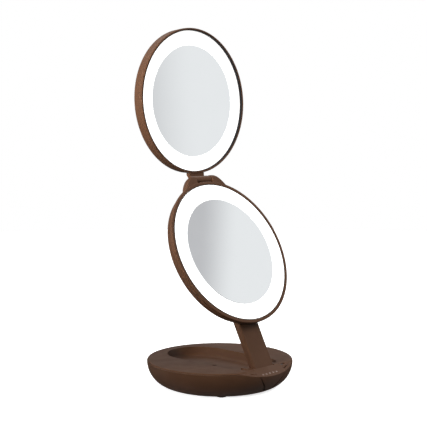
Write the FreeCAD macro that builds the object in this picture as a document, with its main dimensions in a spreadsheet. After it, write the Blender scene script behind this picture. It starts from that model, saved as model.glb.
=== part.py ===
import FreeCAD, Part
import os
import Sketcher
from FreeCAD import Rotation, Vector

# A folding travel mirror: a round base, an arm hinged at its front edge, a lower lit mirror that
# swivels on the arm, and an upper lit mirror hinged to the top of the lower one.
# +Z is up, the front faces -Y, +X is to the right of a person in front of it, and the origin is
# the middle of the underside. Lengths are in millimetres and angles in degrees.

doc = FreeCAD.newDocument("folding_mirror")
sheet = doc.addObject("Spreadsheet::Sheet", "Dims")

DIMENSIONS = [
    # cutting blocks reach this far past what they cut, and joined shapes lap by this much
    ("beyond", 50), ("above", 40), ("overshoot", 1), ("lap", 0.2), ("slack", 0.05),
    # base: a shallow bowl closed by a deck with a long channel for the folded arm
    ("bowl_radius", 62.5), ("bowl_foot", 47.06), ("bowl_arc", 22), ("bowl_bottom", 1),
    ("bowl_top", 22), ("bowl_wall", 2), ("bowl_inner_foot", 46.74), ("floor_top", 3),
    ("deck_top", 23.4), ("deck_edge", 62.3), ("deck_seam", 22.1), ("deck_round", 1.2),
    ("deck_under", 21.4), ("deck_plug", 60.2), ("apron_start", 51.5), ("apron_slope", 27),
    ("apron_deep", 30), ("apron_high", 20), ("apron_wall", 2.2), ("apron_under", 14),
    ("apron_radius", 59.4), ("apron_back", 48.5),
    ("channel_floor", 15.4), ("channel_half", 24), ("channel_tip", 26), ("channel_front", 46),
    ("channel_corner", 12), ("channel_taper", 20), ("channel_wall", 1.8), ("channel_round", 4),
    ("tub_lap", 0.5),
    # fixed cap at the front that carries the arm's hinge
    ("cap_half", 17), ("cap_back", 40), ("cap_shoulder", 20), ("cap_bottom", 4.4),
    ("cap_low_half", 2.6), ("slot_low_half", 5), ("seam_gap", 0.25), ("cap_hollow", 14),
    ("foot_forward", 47.1), ("foot_height", 17.4), ("foot_barrel", 6), ("foot_gap", 0.35),
    ("foot_pin", 2), ("foot_pin_half", 15.4), ("ear_inner", 12.3), ("pin_play", 0.05),
    ("cap_block_front", 55), ("cap_block_bottom", 12.5), ("foot_washer", 4.6),
    ("foot_washer_gap", 0.08), ("most_upright", 20),
    ("mark_down", 8.4), ("mark_left", 2.5), ("mark_radius", 0.85), ("mark_pitch", 4.2),
    ("mark_thick", 0.12),
    # arm, which lies parallel to the lower mirror
    ("arm_half", 11.75), ("arm_thick", 6), ("arm_reach", 75.45), ("arm_wall", 1.6),
    ("arm_cover", 1.4), ("arm_round", 1.4), ("arm_behind", 0.3), ("arm_hollow_low", 8),
    ("cover_edge", 0.5), ("cover_gap", 0.15),
    ("wire_radius", 0.6), ("wire_side", 3.4), ("wire_low", 9), ("wire_deep", 1.2),
    ("arm_screw_head", 1.7), ("arm_screw_shank", 0.7), ("arm_screw_length", 2.8),
    ("arm_head_thick", 0.8), ("arm_head_sunk", 0.2), ("arm_hole_play", 0.1), ("arm_boss", 2.1),
    ("arm_boss_end", 0.3), ("arm_screw_high", 19), ("arm_screw_low", 58),
    # hub that the lower mirror swivels on
    ("hub_radius", 4), ("hub_play", 0.06), ("hub_flange", 8), ("hub_flange_thick", 0.8),
    ("hub_bore", 1.7), ("hub_length", 5.9), ("hub_drop", 28.35), ("bush_radius", 5.4),
    ("bush_length", 2.2), ("washer_radius", 6.6), ("washer_thick", 0.45), ("washer_play", 0.3),
    ("clip_radius", 6.2), ("clip_thick", 0.6), ("groove_depth", 0.4), ("tray_opening", 9),
    # both mirror heads
    ("lower_tilt", 27.25), ("upper_tilt", 2.44), ("lower_rim", 64.3), ("lower_back", 62.3),
    ("lower_thick", 9.7), ("lower_side", 1.8), ("upper_side", 1.2), ("upper_rim", 62.3),
    ("upper_back", 61.9), ("upper_thick", 10.7), ("lower_lip", 61.5), ("upper_lip", 60.7),
    ("bezel_depth", 2.4), ("head_wall", 1.8), ("lower_recess", 0.5), ("upper_recess", 2.8),
    ("edge_round", 0.6), ("back_round", 2.2), ("rim_gap", 0.1), ("rim_reach", 3),
    ("glass_radius", 47.7), ("glass_thick", 1.8), ("glass_edge", 0.3), ("glass_seat", 0.3),
    ("glass_dish", 1.1), ("dish_sphere", 1034.78), ("ring_inner", 47.9), ("ring_thick", 1.6),
    ("tray_wall", 1.2), ("tray_floor", 1), ("tray_gap", 0.2), ("lower_lift", 0.7),
    ("upper_lift", 0.2), ("board_inner", 50.5), ("board_outer", 58.5), ("board_thick", 1),
    ("led_length", 3.5), ("led_width", 2.8), ("led_height", 0.8), ("led_circle", 54.5),
    ("led_count", 24), ("screw_head", 1.9), ("screw_shank", 0.8), ("screw_head_thick", 0.9),
    ("screw_deep", 0.8), ("screw_side", 28.3), ("boss_radius", 2.6), ("tray_hole_play", 0.1),
    # hinge between the two heads
    ("axis_above", 67.95), ("axis_behind", 4.64), ("closed_gap", 0.4), ("barrel_radius", 3.3),
    ("barrel_half", 9.3), ("ear_radius", 3.6), ("notch_half", 9.7), ("bracket_half", 11.8),
    ("bracket_low_half", 25), ("bracket_low", 57), ("bracket_curve", 28), ("bracket_back", 12),
    ("bracket_slab", 14), ("notch_low", 50), ("hinge_pin", 1.25), ("hinge_pin_half", 11.6),
    ("hinge_washer_radius", 3), ("hinge_washer_gap", 0.05), ("neck_half", 8.6),
    ("neck_heel", 1), ("neck_root", 4.6), ("neck_seat", 1.2), ("neck_reach", 3),
    # batteries, their bay and its door
    ("cell_radius", 5.25), ("cell_length", 44.5), ("cell_pitch", 11.2), ("cell_height", 8.1),
    ("nub_radius", 2.7), ("nub_length", 1.2), ("contact_thick", 0.4), ("contact_half", 4),
    ("spring_radius", 2.3), ("bay_centre", 16.5), ("bay_half", 26.2), ("bay_depth", 37.4),
    ("bay_top", 13.5), ("bay_wall", 1.2), ("door_half", 25), ("door_depth", 36),
    ("door_thick", 1.6), ("door_gap", 0.2), ("catch_half", 8), ("catch_up", 13),
    ("catch_width", 2.4), ("catch_deep", 0.7), ("lock_down", 16.6), ("lock_boss", 1.7),
    ("lock_boss_high", 1.2), ("lock_thread", 0.8), ("lock_hole", 0.9), ("lock_head", 1.6),
    ("lock_head_thick", 0.7), ("lock_sunk", 0.2), ("lock_length", 2),
    # fastenings, feet, driver and switch
    ("pad_radius", 4.2), ("pad_thick", 1.4), ("pad_place", 30), ("pad_sunk", 0.4),
    ("post_x", 40), ("post_y", 15), ("post_radius", 3.2), ("post_bottom", 5), ("tap_depth", 12),
    ("base_screw_head", 2.6), ("base_screw_shank", 1.2), ("base_screw_end", 13),
    ("base_head_thick", 1.8), ("base_head_sunk", 0.6), ("base_head_play", 0.2),
    ("base_shank_play", 0.3), ("seat_wall", 1.8), ("seat_thick", 2.2),
    ("middle_screw_y", 6.5), ("middle_screw_head", 2), ("middle_head_thick", 0.7),
    ("middle_screw_shank", 1), ("middle_screw_length", 10), ("middle_hole_play", 0.2),
    ("middle_seat", 3), ("middle_deep", 5),
    ("driver_left", 55), ("driver_long", 22), ("driver_half", 9), ("driver_under", 19),
    ("driver_thick", 1), ("stand_radius", 1.5), ("stand_far", 50), ("stand_near", 37),
    ("chip_long", 6), ("chip_wide", 5), ("chip_thick", 1.6), ("small_chip", 4),
    ("small_chip_thick", 1.4), ("coil_radius", 2.2), ("coil_thick", 1.8), ("coil_back", 4.5),
    ("switch_left", 18), ("switch_front", 53.6), ("switch_slot", 5.2), ("switch_width", 1.5),
    ("switch_under", 15), ("switch_long", 4.8), ("switch_deep", 3.2), ("switch_high", 2.3),
    ("switch_ahead", 0.6), ("slider_length", 2.8), ("slider_gap", 0.2), ("slider_side", 0.15),
    ("slider_foot", 17.5), ("slider_sunk", 0.25),
]

for row, (alias, size) in enumerate(DIMENSIONS, start=1):
    cell = "A%d" % row
    sheet.set(cell, str(size))
    sheet.setAlias(cell, alias)
doc.recompute()

KNOWN = {alias for alias, size in DIMENSIONS}
PIECES = []


def number(text):
    """Value of a sum such as "deck_top - deck_round", read from the sheet."""
    total = 0.0
    sign = 1.0
    for word in str(text).split():
        if word in ("+", "-"):
            sign = 1.0 if word == "+" else -1.0
        else:
            total += sign * (sheet.get(word) if word in KNOWN else float(word))
            sign = 1.0
    return total


def bound(text):
    """The same sum as an expression on the sheet's cells."""
    return " ".join("Dims." + word if word in KNOWN else word for word in str(text).split())


def minus(text):
    """The sum with every sign turned round."""
    words = str(text).split()
    if words[0] not in ("+", "-"):
        words.insert(0, "+")
    flipped = {"+": "-", "-": "+"}
    turned_words = [flipped.get(word, word) for word in words]
    return " ".join(turned_words[1:] if turned_words[0] == "+" else turned_words)


def span(low, high):
    """The sum for the distance from low up to high."""
    less = minus(low)
    return "%s %s%s" % (high, "" if less.startswith("-") else "+ ", less)


def bind(thing, **sizes):
    for name, text in sizes.items():
        thing.setExpression(name, bound(text))
    return thing


def at(thing, x="0", y="0", z="0"):
    """Puts a thing at a place made of bound sums."""
    for axis, text in (("x", x), ("y", y), ("z", z)):
        if str(text) != "0":
            thing.setExpression("Placement.Base." + axis, bound(text))
    return thing


def part(kind):
    return doc.addObject(kind, "tool")


def box(x, y, z, length, width, height):
    """A block whose lowest corner is x, y, z."""
    return at(bind(part("Part::Box"), Length=length, Width=width, Height=height), x, y, z)


def rod(radius, height, x="0", y="0", z="0"):
    """A cylinder that stands on x, y, z."""
    return at(bind(part("Part::Cylinder"), Radius=radius, Height=height), x, y, z)


def pin_along_x(radius, half, y, z, start=None):
    """A cylinder along X, from -half (or start) to +half."""
    thing = part("Part::Cylinder")
    thing.Placement.Rotation = Rotation(Vector(0, 1, 0), 90)
    if start is None:
        bind(thing, Radius=radius, Height=half + " + " + half)
        return at(thing, minus(half), y, z)
    bind(thing, Radius=radius, Height=half)
    return at(thing, start, y, z)


def cut(base, *tools):
    for tool in tools:
        result = part("Part::Cut")
        result.Base = base
        result.Tool = tool
        base = result
    return base


def fuse(*shapes):
    result = part("Part::MultiFuse")
    result.Shapes = list(shapes)
    result.Refine = True
    return result


def common(base, tool):
    result = part("Part::Common")
    result.Base = base
    result.Tool = tool
    return result


def origin_plane(body, role):
    for feature in body.Origin.OriginFeatures:
        if feature.Role == role:
            return feature
    raise ValueError(role)


def arc_between(start, end, radius):
    """Arc from start to end; a positive radius bulges to the right of that direction."""
    chord = end - start
    middle = (start + end) * 0.5
    left = Vector(-chord.y, chord.x, 0).normalize()
    offset = max(0.0, radius * radius - chord.Length * chord.Length / 4.0) ** 0.5
    centre = middle + left * (offset if radius > 0 else -offset)
    circle = Part.Circle(centre, Vector(0, 0, 1), abs(radius))
    first, last = (start, end) if radius > 0 else (end, start)
    return Part.ArcOfCircle(circle, circle.parameter(first), circle.parameter(last))


def outline(body, role, points, arcs=None):
    """A closed sketch through bound points; arcs gives some of its edges a radius."""
    arcs = arcs or {}
    sketch = body.newObject("Sketcher::SketchObject", "outline")
    sketch.AttachmentSupport = [(origin_plane(body, role), "")]
    sketch.MapMode = "FlatFace"
    corners = [Vector(number(x), number(y), 0) for x, y in points]
    ends = []
    for index, corner in enumerate(corners):
        following = corners[(index + 1) % len(corners)]
        radius = arcs.get(index)
        if radius is None:
            sketch.addGeometry(Part.LineSegment(corner, following))
            ends.append((1, 2))
        else:
            backwards = str(radius).startswith("-")
            size = number(str(radius).lstrip("- "))
            sketch.addGeometry(arc_between(corner, following, -size if backwards else size))
            ends.append((2, 1) if backwards else (1, 2))
    for index in range(len(corners)):
        following = (index + 1) % len(corners)
        sketch.addConstraint(
            Sketcher.Constraint("Coincident", index, ends[index][1], following, ends[following][0]))
    for index, (x, y) in enumerate(points):
        start = ends[index][0]
        for kind, text, axis in (("DistanceX", x, -2), ("DistanceY", y, -1)):
            if number(text) == 0:
                sketch.addConstraint(Sketcher.Constraint("PointOnObject", index, start, axis))
            else:
                rule = Sketcher.Constraint(kind, -1, 1, index, start, number(text))
                place = sketch.addConstraint(rule)
                sketch.setExpression("Constraints[%d]" % place, bound(text))
    for index, radius in arcs.items():
        size = str(radius).lstrip("- ")
        place = sketch.addConstraint(Sketcher.Constraint("Radius", index, number(size)))
        sketch.setExpression("Constraints[%d]" % place, bound(size))
    return sketch


def turned(points, arcs=None):
    """A body turned about Z from its half section, given as radius and height."""
    body = part("PartDesign::Body")
    sketch = outline(body, "XZ_Plane", points, arcs)
    feature = body.newObject("PartDesign::Revolution", "turning")
    feature.Profile = sketch
    feature.ReferenceAxis = (sketch, ["V_Axis"])
    feature.Angle = 360
    sketch.Visibility = False
    return body


def padded(role, points, length, arcs=None, middle=False, taper=None, start=None):
    """A body pushed out from an outline on one of its origin planes."""
    body = part("PartDesign::Body")
    sketch = outline(body, role, points, arcs)
    if start is not None:
        sketch.setExpression("AttachmentOffset.Base.z", bound(start))
    feature = body.newObject("PartDesign::Pad", "push")
    feature.Profile = sketch
    feature.setExpression("Length", bound(length))
    feature.Midplane = middle
    if taper is not None:
        feature.setExpression("TaperAngle", bound(taper))
    return body


def rounded(body, radius, wanted):
    """Adds a fillet to the edges of a body that the test wants."""
    doc.recompute()
    tip = body.Tip
    names = []
    for index, edge in enumerate(tip.Shape.Edges, start=1):
        if wanted(edge):
            names.append("Edge%d" % index)
    feature = body.newObject("PartDesign::Fillet", "round")
    feature.Base = (tip, names)
    feature.setExpression("Radius", bound(radius))
    return body


def level(height):
    """A test for edges that lie flat at one height."""
    z = number(height)
    return lambda edge: abs(edge.BoundBox.ZMin - z) < 0.01 and abs(edge.BoundBox.ZMax - z) < 0.01


FOOT = ("-Dims.foot_forward", "Dims.foot_height")
TILT = "Dims.lower_tilt * 1 deg"
LEAN = "Dims.upper_tilt * 1 deg"
ARM_BACK = "(Dims.lower_thick + Dims.arm_behind + Dims.arm_thick)"
RISE = "(Dims.arm_reach + Dims.hub_drop)"
LOWER_Y = "%s + %s * sin(%s) + %s * cos(%s)" % (FOOT[0], RISE, TILT, "-" + ARM_BACK, TILT)
LOWER_Z = "%s + %s * cos(%s) + %s * sin(%s)" % (FOOT[1], RISE, TILT, ARM_BACK, TILT)
UPPER_IN = "(Dims.axis_behind + Dims.closed_gap)"
AXIS_Y = "%s + Dims.axis_above * sin(%s) + Dims.axis_behind * cos(%s)" % (LOWER_Y, TILT, TILT)
AXIS_Z = "%s + Dims.axis_above * cos(%s) - Dims.axis_behind * sin(%s)" % (LOWER_Z, TILT, TILT)
UPPER_Y = "%s + Dims.axis_above * sin(%s) + %s * cos(%s)" % (AXIS_Y, LEAN, UPPER_IN, LEAN)
UPPER_Z = "%s + Dims.axis_above * cos(%s) - %s * sin(%s)" % (AXIS_Z, LEAN, UPPER_IN, LEAN)
FRAMES = {
    "lower": (LOWER_Y, LOWER_Z, "90 - Dims.lower_tilt"),
    "upper": (UPPER_Y, UPPER_Z, "90 - Dims.upper_tilt"),
}


def piece(label, shape, frame=None):
    """Names a finished piece and, on a mirror head or the arm, tilts it into its place."""
    shape.Label = label
    if frame is not None:
        y, z, angle = FRAMES[frame]
        shape.Placement.Rotation = Rotation(Vector(1, 0, 0), 60)
        shape.setExpression("Placement.Base.y", y)
        shape.setExpression("Placement.Base.z", z)
        shape.setExpression("Placement.Rotation.Angle", angle)
    PIECES.append(shape)
    return shape


# Base -------------------------------------------------------------------------------------------

SLOPE = "Dims.apron_slope * 1 deg"


def apron_block(drop="0"):
    """Everything above the sloping thumb apron at the front, or above a plane under it."""
    block = bind(part("Part::Box"), Length="beyond + beyond", Width="apron_deep", Height="apron_high")
    block.Placement.Rotation = Rotation(Vector(1, 0, 0), 30)
    block.setExpression("Placement.Rotation.Angle", "Dims.apron_slope")
    back = "-Dims.apron_start - Dims.apron_deep * cos(%s) + (%s) * sin(%s)" % (SLOPE, bound(drop), SLOPE)
    height = "Dims.deck_top - Dims.apron_deep * sin(%s) - (%s) * cos(%s)" % (SLOPE, bound(drop), SLOPE)
    block.setExpression("Placement.Base.x", "-Dims.beyond")
    block.setExpression("Placement.Base.y", back)
    block.setExpression("Placement.Base.z", height)
    return block


def front_wedge(half, low_half, low):
    """A tongue seen from the front: as wide as half at the rim, and narrow near the floor."""
    top = "deck_top + overshoot"
    points = [(minus(low_half), low), (low_half, low), (half, "cap_shoulder"), (half, top),
              (minus(half), top), (minus(half), "cap_shoulder")]
    tongue = padded("XZ_Plane", points, "bowl_radius + overshoot")
    return cut(tongue, box("- beyond", "- cap_back", "0", "beyond + beyond", "cap_back", "above"))


def hinge_room(gap):
    """The block inside the rim that carries the arm's pin, grown by a gap."""
    side = "cap_half + %s" % gap
    return box("- cap_half - %s" % gap, "- cap_block_front - %s" % gap, "cap_block_bottom - %s" % gap,
               "%s + %s" % (side, side), "cap_block_front - cap_back + %s + %s" % (gap, gap), "above")


def cap_opening():
    wedge = front_wedge("cap_half + seam_gap", "slot_low_half", "cap_bottom - seam_gap")
    return fuse(wedge, hinge_room("seam_gap"))


def channel(floor, top, grow="0"):
    """The long tapered hollow in the deck that the folded arm lies in."""
    half = "channel_half + " + grow
    near = minus("channel_front + " + grow)
    corner = "channel_corner"
    points = [
        (minus(half), "channel_tip"), ("0", "channel_tip + " + half), (half, "channel_tip"),
        (half, near + " + " + corner), (half + " - " + corner, near),
        (minus(half) + " + " + corner, near), (minus(half), near + " + " + corner),
    ]
    arcs = {0: "- " + half, 1: "- " + half, 3: "- " + corner, 5: "- " + corner}
    return padded("XY_Plane", points, span(floor, top), arcs, taper="channel_taper", start=floor)


BOWL = [("0", "bowl_bottom"), ("bowl_foot", "bowl_bottom"), ("bowl_radius", "bowl_top")]
DECK_RIM = [("deck_edge", "deck_top - deck_round"), ("deck_edge - deck_round", "deck_top"),
            ("0", "deck_top")]
POSTS = [("post_x", "post_y"), ("post_x", "- post_y"), ("- post_x", "post_y"), ("- post_x", "- post_y")]
PADS = [(right + "pad_place", up + "pad_place") for right in ("", "- ") for up in ("", "- ")]


def make_base_shell():
    points = BOWL + [("bowl_radius - bowl_wall", "bowl_top"), ("bowl_inner_foot", "floor_top"),
                     ("0", "floor_top")]
    shell = turned(points, {1: "bowl_arc", 3: "- bowl_arc - bowl_wall"})
    seat_low = "floor_top - lap"
    seats = [rod("base_screw_head + seat_wall", "seat_thick", x, y, seat_low) for x, y in POSTS]
    seats.append(rod("post_radius", "middle_seat", "0", "middle_screw_y", seat_low))
    shell = fuse(shell, *seats)
    sink = "base_head_thick + base_head_sunk"
    holes = [rod("base_screw_head + base_head_play", sink, x, y, "bowl_bottom") for x, y in POSTS]
    holes += [rod("base_screw_shank + base_shank_play", "floor_top + seat_thick", x, y, "bowl_bottom")
              for x, y in POSTS]
    holes += [rod("pad_radius", "pad_sunk", x, y, "bowl_bottom") for x, y in PADS]
    holes.append(rod("middle_screw_shank", "middle_seat + overshoot", "0", "middle_screw_y", "floor_top"))
    holes.append(box("- door_half - door_gap", "- bay_centre - door_depth / 2 - door_gap", "0",
                     "door_half + door_half + door_gap + door_gap", "door_depth + door_gap + door_gap",
                     "floor_top + overshoot"))
    return piece("base_shell", cut(shell, fuse(*holes), cap_opening(), apron_block()))


def make_base_deck():
    points = [("0", "deck_under"), ("deck_plug", "deck_under"), ("deck_plug", "deck_seam"),
              ("deck_edge", "deck_seam")] + DECK_RIM
    deck = turned(points, {4: "deck_round"})
    tub = channel("channel_floor - channel_wall", "deck_under + tub_lap", "channel_wall")
    front = common(rod("apron_radius", "deck_under - apron_under", z="apron_under"),
                   box("- beyond", "- bowl_radius", "0", "beyond + beyond", "bowl_radius - apron_back",
                       "above"))
    front = common(front, apron_block("apron_wall"))
    posts = [rod("post_radius", "deck_under - post_bottom", x, y, "post_bottom") for x, y in POSTS]
    stand_low = "driver_under + driver_thick"
    stands = [rod("stand_radius", span(stand_low, "deck_under"), x, "0", stand_low)
              for x in ("- stand_far", "- stand_near")]
    deck = fuse(deck, tub, front, *posts, *stands)
    hollow = rounded(channel("channel_floor", "deck_top"), "channel_round", level("channel_floor"))
    holes = [rod("base_screw_shank", "tap_depth", x, y, "post_bottom") for x, y in POSTS]
    holes.append(rod("middle_screw_head + middle_hole_play", "middle_seat", "0", "middle_screw_y",
                     "channel_floor - overshoot"))
    holes.append(rod("middle_screw_shank + middle_hole_play", "middle_deep", "0", "middle_screw_y",
                     "channel_floor - middle_seat"))
    holes.append(box("switch_left", "- switch_front", "apron_under", "switch_slot", "switch_width", "above"))
    return piece("base_deck", cut(deck, hollow, fuse(*holes), cap_opening(), apron_block()))


def make_front_cap():
    solid = turned(BOWL + DECK_RIM, {1: "bowl_arc", 3: "deck_round"})
    tongue = common(solid, front_wedge("cap_half", "cap_low_half", "cap_bottom"))
    block = common(hinge_room("0"), rod("bowl_radius", "deck_top"))
    tongue = cut(tongue, box("- beyond", "- cap_back - cap_hollow", "0", "beyond + beyond",
                             "cap_hollow + overshoot", "cap_block_bottom"))
    barrel = pin_along_x("foot_barrel + foot_gap", "ear_inner", "- foot_forward", "foot_height")
    behind = box("- ear_inner", "- foot_forward", "0", "ear_inner + ear_inner", "above", "above")
    upright_arm = box("- ear_inner", "- foot_forward", "foot_height", "ear_inner + ear_inner", "above",
                      "foot_barrel + foot_gap")
    upright_arm.Placement.Rotation = Rotation(Vector(1, 0, 0), 60)
    upright_arm.setExpression("Placement.Rotation.Angle", "90 - Dims.most_upright")
    hole = pin_along_x("foot_pin", "foot_pin_half", "- foot_forward", "foot_height")
    cap = cut(fuse(tongue, block), barrel, behind, upright_arm, hole, apron_block())
    return piece("front_cap", cap)


def make_cap_mark():
    dots = []
    for step in range(-2, 3):
        dot = bind(part("Part::Cylinder"), Radius="mark_radius", Height="mark_thick")
        dot.Placement.Rotation = Rotation(Vector(1, 0, 0), 30)
        dot.setExpression("Placement.Rotation.Angle", "Dims.apron_slope")
        dot.setExpression("Placement.Base.x", "%d * Dims.mark_pitch - Dims.mark_left" % step)
        dot.setExpression("Placement.Base.y", "-Dims.apron_start - Dims.mark_down * cos(%s)" % SLOPE)
        dot.setExpression("Placement.Base.z", "Dims.deck_top - Dims.mark_down * sin(%s)" % SLOPE)
        dots.append(dot)
    mark = part("Part::Compound")
    mark.Links = dots
    return piece("cap_mark", mark)


def group(label, shapes, frame=None):
    """Several separate solids of one kind in one node."""
    holder = part("Part::Compound")
    holder.Links = shapes
    return piece(label, holder, frame)


def make_foot_hinge():
    piece("foot_pin", pin_along_x("foot_pin", "foot_pin_half", "- foot_forward", "foot_height"))
    washers = []
    for start in ("arm_half + foot_washer_gap", "- ear_inner + pin_play"):
        disc = pin_along_x("foot_washer", "ear_inner - arm_half - foot_washer_gap - pin_play",
                           "- foot_forward", "foot_height", start)
        bore = pin_along_x("foot_pin", "ear_inner", "- foot_forward", "foot_height")
        washers.append(cut(disc, bore))
    group("foot_washers", washers)


def make_battery_parts():
    cells = []
    contacts = []
    for step in (-1, 0, 1):
        y = "- bay_centre + %g" % (step * number("cell_pitch"))
        end = "cell_length / 2"
        can = pin_along_x("cell_radius", "cell_length - nub_length", y, "cell_height", "- " + end)
        nub = pin_along_x("nub_radius", "nub_length", y, "cell_height", end + " - nub_length")
        cells.append(fuse(can, nub))
        room = "bay_half - bay_wall - contact_thick"
        for wall, coil_start in (("- bay_half + bay_wall", "- bay_half + bay_wall + contact_thick"),
                                 (room, end)):
            plate = box(wall, y + " - contact_half", "cell_height - contact_half", "contact_thick",
                        "contact_half + contact_half", "contact_half + contact_half")
            coil = pin_along_x("spring_radius", room + " - " + end, y, "cell_height", coil_start)
            contacts.append(fuse(plate, coil))
    group("battery_cells", cells)
    group("battery_contacts", contacts)
    outer = box("- bay_half", "- bay_centre - bay_depth / 2", "floor_top", "bay_half + bay_half",
                "bay_depth", "bay_top - floor_top")
    inner = box("- bay_half + bay_wall", "- bay_centre - bay_depth / 2 + bay_wall", "0",
                "bay_half + bay_half - bay_wall - bay_wall", "bay_depth - bay_wall - bay_wall", "above")
    lock_y = "- bay_centre - lock_down"
    boss = rod("lock_boss", "lock_boss_high", "0", lock_y, "floor_top")
    bay = fuse(cut(outer, inner), boss)
    piece("battery_bay", cut(bay, rod("lock_thread", "lock_boss_high", "0", lock_y, "floor_top")))
    door = box("- door_half", "- bay_centre - door_depth / 2", "bowl_bottom", "door_half + door_half",
               "door_depth", "door_thick")
    catch = box("- catch_half", "- bay_centre + catch_up", "bowl_bottom", "catch_half + catch_half",
                "catch_width", "catch_deep")
    recess = rod("lock_boss", "lock_head_thick + lock_sunk", "0", lock_y, "bowl_bottom")
    hole = rod("lock_hole", "door_thick + overshoot", "0", lock_y, "bowl_bottom")
    piece("battery_door", cut(door, catch, recess, hole))
    head = rod("lock_head", "lock_head_thick", "0", lock_y, "bowl_bottom + lock_sunk")
    thread = rod("lock_thread", "lock_length", "0", lock_y, "bowl_bottom + lock_sunk + lock_head_thick")
    piece("door_screw", fuse(head, thread))


def make_base_fittings():
    pads = [rod("pad_radius", "pad_thick", x, y) for x, y in PADS]
    group("rubber_feet", pads)
    screws = []
    for x, y in POSTS:
        under = "bowl_bottom + base_head_sunk + base_head_thick"
        head = rod("base_screw_head", "base_head_thick", x, y, "bowl_bottom + base_head_sunk")
        thread = rod("base_screw_shank", span(under, "base_screw_end"), x, y, under)
        screws.append(fuse(head, thread))
    group("base_screws", screws)
    seat = "channel_floor - overshoot"
    head = rod("middle_screw_head", "middle_head_thick", "0", "middle_screw_y", seat)
    thread = rod("middle_screw_shank", "middle_screw_length", "0", "middle_screw_y",
                 seat + " - middle_screw_length")
    piece("middle_screw", fuse(head, thread))


def make_driver_and_switch():
    """The lamp driver under the deck's left side, and the slide switch beside the arm's foot."""
    board = box("- driver_left", "- driver_half", "driver_under", "driver_long",
                "driver_half + driver_half", "driver_thick")
    sunk = "driver_under + lap - "
    chip = box("- driver_left + screw_head", "- chip_wide", sunk + "chip_thick", "chip_long", "chip_wide",
               "chip_thick")
    small_chip = box("- driver_left + driver_half", "overshoot", sunk + "small_chip_thick", "small_chip",
                     "small_chip", "small_chip_thick")
    coil = rod("coil_radius", "coil_thick", "- driver_left + driver_half + chip_long", "- coil_back",
               sunk + "coil_thick")
    piece("driver_board", fuse(board, chip, small_chip, coil))
    piece("switch_body", box("switch_left", "- switch_front - switch_ahead", "switch_under", "switch_long",
                             "switch_deep", "switch_high"))
    slider = box("switch_left + slider_gap", "- switch_front + slider_side", "slider_foot",
                 "slider_length", "switch_width - slider_side - slider_side", "deck_top - slider_foot")
    piece("power_slider", cut(slider, apron_block("slider_sunk")))


# Arm --------------------------------------------------------------------------------------------
# The arm and the heads are drawn flat, with the mirror's middle at the origin, its face at z = 0
# and its top towards +Y, and are tilted into place as finished pieces.

PIVOT_Y = "- arm_reach - hub_drop"
BACK_FACE = "- lower_thick - arm_behind - arm_thick"
FRONT_FACE = "- lower_thick - arm_behind"
ARM_SCREWS = ["- hub_drop - arm_screw_high", "- hub_drop - arm_screw_low"]


def strap(back, depth, inset="0", low=None):
    """The arm's outline, straight sided with a round top about the hub."""
    half = "arm_half - " + inset
    less = minus(half)
    low = low or PIVOT_Y
    points = [(less, low), (half, low), (half, "- hub_drop"), ("0", "- hub_drop + " + half),
              (less, "- hub_drop")]
    return padded("XY_Plane", points, depth, {2: half, 3: half}, start=back)


def make_arm():
    shell_back = BACK_FACE + " + arm_cover"
    body = rounded(strap(shell_back, "arm_thick - arm_cover"), "arm_round", level(FRONT_FACE))
    hollow = strap(shell_back, "arm_thick - arm_cover - arm_wall", "arm_wall", PIVOT_Y + " + arm_hollow_low")
    barrel = pin_along_x("foot_barrel", "arm_half", PIVOT_Y, BACK_FACE)
    foot = box("- arm_half", PIVOT_Y, BACK_FACE, "arm_half + arm_half", "foot_barrel", "arm_cover")
    bosses = [rod("arm_boss", "arm_thick - arm_cover - arm_wall", "0", y, shell_back) for y in ARM_SCREWS]
    shell = fuse(cut(body, hollow), barrel, foot, *bosses)
    hole = pin_along_x("foot_pin + pin_play", "arm_half + overshoot", PIVOT_Y, BACK_FACE)
    hub_hole = rod("bush_radius", "arm_wall + overshoot + overshoot", "0", "- hub_drop",
                   FRONT_FACE + " - arm_wall - overshoot")
    threads = [rod("arm_screw_shank", "arm_thick - arm_cover - arm_wall - arm_boss_end", "0", y, shell_back)
               for y in ARM_SCREWS]
    piece("arm_front_shell", cut(shell, hole, hub_hole, *threads), "lower")

    cover = strap(BACK_FACE, "arm_cover", "0", PIVOT_Y + " + foot_barrel + cover_gap")
    cover = rounded(cover, "arm_cover - cover_edge", level(BACK_FACE))
    sink = "arm_head_thick + arm_head_sunk"
    heads = [rod("arm_screw_head + arm_hole_play", sink, "0", y, BACK_FACE) for y in ARM_SCREWS]
    shanks = [rod("arm_screw_shank + arm_hole_play", "arm_cover + overshoot", "0", y, BACK_FACE)
              for y in ARM_SCREWS]
    piece("arm_back_cover", cut(cover, *heads, *shanks), "lower")

    screws = []
    for y in ARM_SCREWS:
        head = rod("arm_screw_head", "arm_head_thick", "0", y, BACK_FACE + " + arm_head_sunk")
        thread = rod("arm_screw_shank", "arm_screw_length", "0", y,
                     BACK_FACE + " + arm_head_sunk + arm_head_thick")
        screws.append(fuse(head, thread))
    group("arm_screws", screws, "lower")

    wires = []
    for side in ("wire_side", "- wire_side"):
        wire = bind(part("Part::Cylinder"), Radius="wire_radius", Height="arm_reach - wire_low - wire_low")
        wire.Placement.Rotation = Rotation(Vector(1, 0, 0), -90)
        wires.append(at(wire, side, PIVOT_Y + " + wire_low", FRONT_FACE + " - arm_wall - wire_deep"))
    group("arm_wires", wires, "lower")


def ring(outer, inner, back, depth, x="0", y="0"):
    """A flat ring whose back face is at the height back."""
    bore = rod(inner, depth + " + overshoot + overshoot", x, y, back + " - overshoot")
    return cut(rod(outer, depth, x, y, back), bore)


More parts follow.
